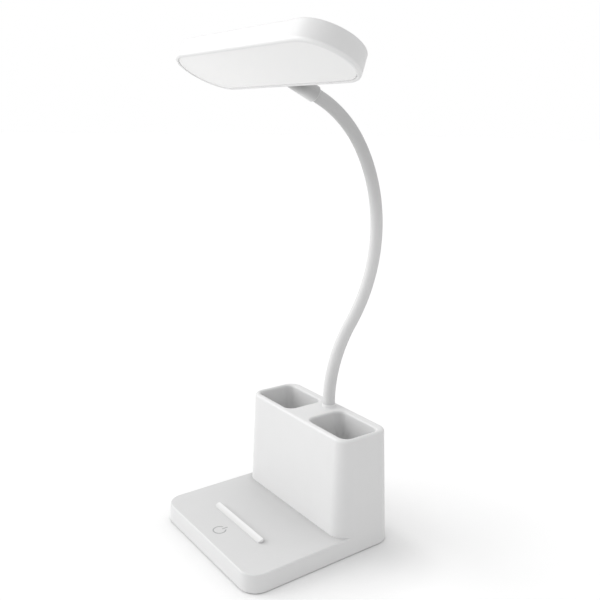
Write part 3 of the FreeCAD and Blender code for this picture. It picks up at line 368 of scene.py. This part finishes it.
TUBE_RADIUS = 4.5 * MM
BORE_RADIUS = 3.2 * MM
RING_STEP = 1.2 * MM
RING_POINTS = 56
SAME_POINT = 0.01 * MM
# The straight run from the last arc to the ferrule's rim, and the hose's depth inside the ferrule.
NECK_RUN_OUT = 6.1 * MM
SLEEVE_SEAT = 6.0 * MM
SEAT_STEPS = 3


def ahead(heading):
    """The neck's direction at a heading from straight up, in the YZ plane."""
    return Vector((0, math.sin(heading), math.cos(heading)))


def aside(heading):
    return Vector((0, math.cos(heading), -math.sin(heading)))


class Arc:
    """A stretch of the neck's line in the YZ plane, given by its ends and its headings there."""

    def __init__(self, start, end, first, last):
        self.first = first
        self.radius = (end - start).length / 2 / math.sin(abs(last - first) / 2)
        self.length = self.radius * abs(last - first)
        self.turn = 1 if last > first else -1
        self.centre = start + aside(first) * self.turn * self.radius

    def at(self, distance):
        """The point and heading at a distance along the arc."""
        heading = self.first + self.turn * distance / self.radius
        return self.centre - aside(heading) * self.turn * self.radius, heading

    def middle(self):
        return self.at(self.length / 2)[0]


def neck_arcs():
    """The arcs between the neck's pivots, and the last one up to its straight run into the ferrule."""
    pivots = [Vector(joint["pos_m"]) for joint in frame["joints"]]
    heading = 0.0
    arcs = []
    for start, end in zip(pivots, pivots[1:]):
        chord = end - start
        last = 2 * math.atan2(chord.y, chord.z) - heading
        arcs.append(Arc(start, end, heading, last))
        heading = last
    final = HEAD_TILT - math.pi / 2
    end = pivots[-1] - (aside(heading) - aside(final)) * arcs[-1].radius
    arcs.append(Arc(pivots[-1], end, heading, final))
    return arcs


def stretch(arc, start, end):
    """Points and headings from one share of an arc to another."""
    first, last = arc.length * start, arc.length * end
    steps = max(2, round((last - first) / RING_STEP))
    return [arc.at(first + (last - first) * k / steps) for k in range(steps + 1)]


def straight(point, heading, length, steps):
    """Points and headings of a straight run that starts after a point."""
    return [(point + ahead(heading) * length * k / steps, heading) for k in range(1, steps + 1)]


def join(lines):
    """One line of points and headings, without the points where two lines meet."""
    joined = lines[0][:]
    for line in lines[1:]:
        joined += [station for station in line if (station[0] - joined[-1][0]).length > SAME_POINT]
    return joined


def add_ring(build, point, heading, radius):
    angles = [2 * math.pi * k / RING_POINTS for k in range(RING_POINTS)]
    return [build.verts.new(point + (ALONG_X * math.cos(a) + aside(heading) * math.sin(a)) * radius)
            for a in angles]


def add_wall(build, low, high, inward, smooth):
    """Faces between two rings, turned inward or outward."""
    for k in range(RING_POINTS):
        n = (k + 1) % RING_POINTS
        corners = [low[k], high[k], high[n], low[n]]
        build.faces.new(corners[::-1] if inward else corners).smooth = smooth


def hose(name, line, finish):
    """A closed tube with a bore along a list of points and headings."""
    build = bmesh.new()
    outside = [add_ring(build, point, heading, TUBE_RADIUS) for point, heading in line]
    inside = [add_ring(build, point, heading, BORE_RADIUS) for point, heading in line]
    for rings, inward in ((outside, False), (inside, True)):
        for low, high in zip(rings, rings[1:]):
            add_wall(build, low, high, inward, smooth=True)
    for end, inward in ((0, False), (-1, True)):
        add_wall(build, inside[end], outside[end], inward, smooth=False)
    bmesh.ops.recalc_face_normals(build, faces=build.faces)
    for edge in build.edges:
        edge.smooth = all(face.smooth for face in edge.link_faces)
    mesh = bpy.data.meshes.new(name)
    build.to_mesh(mesh)
    build.free()
    mesh.materials.append(finish.owner)
    piece = bpy.data.objects.new(name, mesh)
    bpy.context.scene.collection.objects.link(piece)
    return piece


def add_sleeve(finish):
    """One stretch of hose for each pivot, from the middle of the link below to that above."""
    arcs = neck_arcs()
    foot = Vector(frame["joints"][0]["pos_m"])
    foot.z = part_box("neck_sleeve_0")[0].z
    collar_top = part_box("neck_grommet")[1].z
    for index, joint in enumerate(frame["joints"]):
        pivot = Vector(joint["pos_m"])
        replaced = [f"neck_sleeve_{index + 1}"]
        if index == 0:
            rise = pivot.z - foot.z
            lines = [[(foot, 0.0)] + straight(foot, 0.0, rise, max(2, round(rise / RING_STEP)))]
            start = Vector((0, pivot.y, collar_top))
            replaced.append("neck_sleeve_0")
        else:
            lines = [stretch(arcs[index - 1], 0.5, 1.0)]
            start = arcs[index - 1].middle()
        lines.append(stretch(arcs[index], 0.0, 0.5))
        if joint is frame["joints"][-1]:
            lines.append(stretch(arcs[index], 0.5, 1.0))
            lines.append(straight(*lines[-1][-1], NECK_RUN_OUT + SLEEVE_SEAT, SEAT_STEPS))
        piece = hose(f"neck_hose_{index + 1}", join(lines), finish)
        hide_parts(*replaced)
        arcs[index].middle()
        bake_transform(piece)


# ---- floor and light -----------------------------------------------------------------------

FLOOR_HALF = 20.0
FLOOR_ALBEDO = 0.80
FLOOR_ROUGHNESS = 0.9
FLOOR_FILL = 0.30
# The contact shadow painted into the floor's glow: how far it reaches, and how strong it is on the side
# away from the key lamp and on the side towards it.
FLOOR_REACH = 60 * MM
FLOOR_CONTACT = 4.0
FLOOR_CONTACT_LIT = 1.3
FLOOR_AWAY = Vector((1, 0.25, 0))
FLOOR_AWAY_START = 50 * MM
FLOOR_AWAY_END = 95 * MM
# Behind the base the floor lies in the key lamp's shade as well, and the painted contact shadow is weaker.
FLOOR_BEHIND = 0.3
FLOOR_BEHIND_START = 58 * MM
FLOOR_BEHIND_END = 80 * MM
SKY_LOW = 0.735
SKY_HIGH = 0.77


def add_floor():
    half = FLOOR_HALF
    mesh = bpy.data.meshes.new("floor")
    mesh.from_pydata([(-half, -half, 0), (half, -half, 0), (half, half, 0), (-half, half, 0)], [],
                     [(0, 1, 2, 3)])
    floor = bpy.data.objects.new("floor", mesh)
    bpy.context.scene.collection.objects.link(floor)
    tree = Tree(bpy.data.materials.new("floor_pale"))
    shader = tree.nodes["Principled BSDF"]
    shader.inputs["Base Color"].default_value = (*grey(FLOOR_ALBEDO), 1)
    shader.inputs["Roughness"].default_value = FLOOR_ROUGHNESS
    shader.inputs["Specular IOR Level"].default_value = 0.0
    glow = tree.nodes.new("ShaderNodeEmission")
    glow.inputs["Color"].default_value = WHITE_LIGHT
    contact = tree.along(FLOOR_AWAY, FLOOR_AWAY_START, FLOOR_AWAY_END, FLOOR_CONTACT_LIT, FLOOR_CONTACT)
    behind = tree.along(ALONG_Y, FLOOR_BEHIND_START, FLOOR_BEHIND_END, 1.0, FLOOR_BEHIND)
    contact = tree.maths("MULTIPLY", contact, behind)
    # The floor's glow, darkened near the lamp as a painted contact shadow.
    open_share = tree.maths("POWER", tree.openness(FLOOR_REACH, alone=False), contact)
    level = tree.maths("MULTIPLY", tree.background_rays(), FLOOR_FILL)
    tree.links.new(tree.maths("MULTIPLY", level, open_share), glow.inputs["Strength"])
    add = tree.nodes.new("ShaderNodeAddShader")
    tree.links.new(shader.outputs["BSDF"], add.inputs[0])
    tree.links.new(glow.outputs["Emission"], add.inputs[1])
    tree.links.new(add.outputs["Shader"], tree.nodes["Material Output"].inputs["Surface"])
    mesh.materials.append(tree.owner)


def add_world():
    """A plain sky that is a little brighter overhead, and white where it is seen."""
    world = bpy.data.worlds.new("studio")
    bpy.context.scene.world = world
    tree = Tree(world)
    background = tree.nodes["Background"]
    background.inputs["Color"].default_value = WHITE_LIGHT
    level = tree.nodes.new("ShaderNodeMix")
    level.inputs["B"].default_value = 1.0
    tree.links.new(tree.background_rays(), level.inputs["Factor"])
    sky = tree.span(tree.upness(tree.place("Generated")), SKY_LOW, SKY_HIGH)
    tree.links.new(sky, level.inputs["A"])
    tree.links.new(level.outputs["Result"], background.inputs["Strength"])


def add_lamp(name, kind, energy, place, aim):
    data = bpy.data.lights.new(name, kind)
    data.energy = energy
    lamp = bpy.data.objects.new(name, data)
    bpy.context.scene.collection.objects.link(lamp)
    lamp.location = place
    lamp.rotation_mode = "QUATERNION"
    lamp.rotation_quaternion = (Vector(aim) - Vector(place)).to_track_quat("-Z", "Y")
    lamp.visible_camera = False
    return data


def add_sun(name, energy, place, angle):
    add_lamp(name, "SUN", energy, place, aim=(0, 0, 0)).angle = math.radians(angle)


def add_spot(name, energy, place, aim, size, cone, blend):
    data = add_lamp(name, "SPOT", energy, place, aim)
    data.shadow_soft_size = size
    data.spot_size = math.radians(cone)
    data.spot_blend = blend


def add_lamps():
    """A broad key lamp from the front left, and two fills on the head's front and lit side."""
    add_sun("key", 1.36, place=(-1.2, -0.97, 0.62), angle=50)
    add_spot("head_fill", 3.4, place=(-0.25, -0.75, 0.62), aim=(0, -0.02, 0.32), size=0.12, cone=34,
             blend=0.6)
    add_spot("low_fill", 1.2, place=(-0.15, -0.55, 0.02), aim=(0, 0, 0.325), size=0.05, cone=24,
             blend=0.5)


# ---- the whole scene -----------------------------------------------------------------------

for make_finish, node_name in OUTSIDE:
    paint(make_finish(), [node_name])
for recipe, node_names in PLAIN:
    paint(Finish(**recipe), node_names)
add_sleeve(sleeve_white())
add_camera()
add_floor()
add_world()
add_lamps()
bpy.context.scene.view_settings.view_transform = "Standard"
